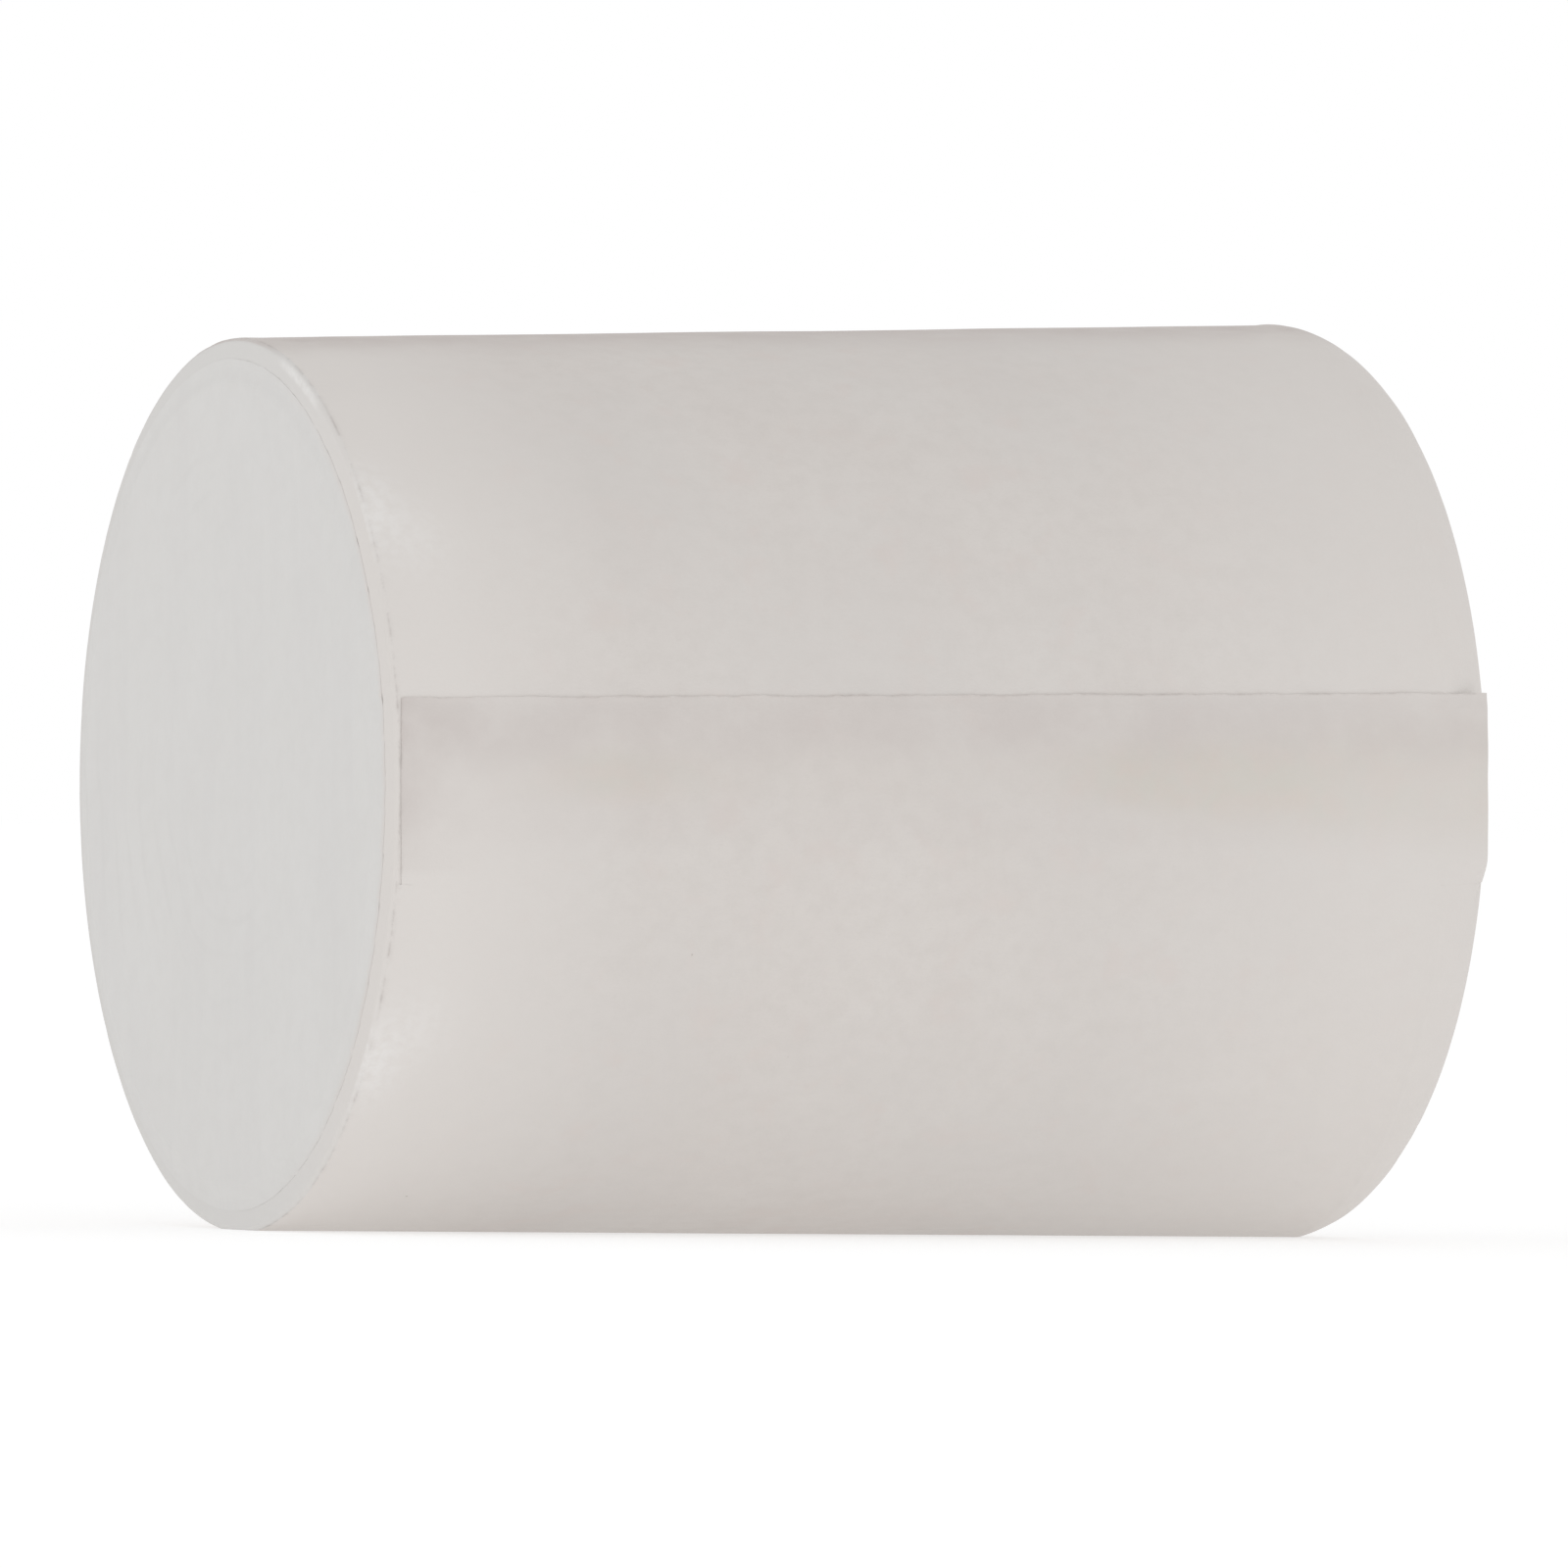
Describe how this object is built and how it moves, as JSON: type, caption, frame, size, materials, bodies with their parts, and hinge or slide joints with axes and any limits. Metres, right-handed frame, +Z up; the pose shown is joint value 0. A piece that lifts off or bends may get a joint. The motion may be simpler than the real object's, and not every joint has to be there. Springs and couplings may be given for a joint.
{
  "type": "background paper roll",
  "caption": "Short wrapped roll of white background paper on a board core, with a peel-open lap along the front and paper discs over the ends.",
  "frame": {"origin": "on the floor under the middle of the roll, which lies on its side on the flat of its underside", "axes": "+X along the roll towards its thicker, rounded end, -Y the front, where the lap is, +Z up"},
  "size_m": [0.3164, 0.2451, 0.2429],
  "materials": {
    "wrapper_paper": "matt off-white wrapping paper",
    "disc_paper": "matt cool white paper disc",
    "background_paper": "matt white, fine fibres",
    "core_board": "spiral-wound grey-brown board",
    "ring_board": "smooth brown board",
    "tape_paper": "creped paper tape",
    "glue": "dried yellowish paste"
  },
  "bodies": {
    "roll": {"core_tube": "core_board", "core_start_tape": "tape_paper", "paper_web": "background_paper", "tail_tape_left": "tape_paper", "tail_tape_right": "tape_paper", "wrapper": "wrapper_paper", "inner_ring_left": "ring_board", "inner_ring_right": "ring_board", "disc_glue_left": "glue", "disc_glue_right": "glue", "lap_glue": "glue"},
    "lap_lower_strip": {"flap_root": "wrapper_paper"},
    "lap_middle_strip": {"flap_middle": "wrapper_paper"},
    "lap_upper_strip": {"flap_tip": "wrapper_paper"},
    "left_disc": {"end_disc_left": "disc_paper"},
    "right_disc": {"end_disc_right": "disc_paper"}
  },
  "joints": [
    {"name": "lap_peel", "type": "hinge", "parent": "roll", "child": "lap_lower_strip", "pos_m": [0.00032, -0.11831, 0.09501], "axis": [0.9998, -0.0151, 0.0104], "range_deg": [0, 30]},
    {"name": "lap_bend_lower", "type": "hinge", "parent": "lap_lower_strip", "child": "lap_middle_strip", "pos_m": [0.00011, -0.12045, 0.11095], "axis": [0.9998, -0.0154, 0.0125], "range_deg": [0, 30]},
    {"name": "lap_bend_upper", "type": "hinge", "parent": "lap_middle_strip", "child": "lap_upper_strip", "pos_m": [-0.00011, -0.12045, 0.12703], "axis": [0.9998, -0.0154, 0.0145], "range_deg": [0, 30]},
    {"name": "left_disc_off", "type": "slide", "parent": "roll", "child": "left_disc", "axis": [-0.9999, 0, -0.0135], "range_m": [0, 0.15]},
    {"name": "right_disc_off", "type": "slide", "parent": "roll", "child": "right_disc", "axis": [0.9999, 0, 0.0135], "range_m": [0, 0.15]}
  ],
  "couplings": [
    {"joint": "lap_bend_lower", "follows": "lap_peel", "ratio": 1},
    {"joint": "lap_bend_upper", "follows": "lap_peel", "ratio": 1}
  ]
}
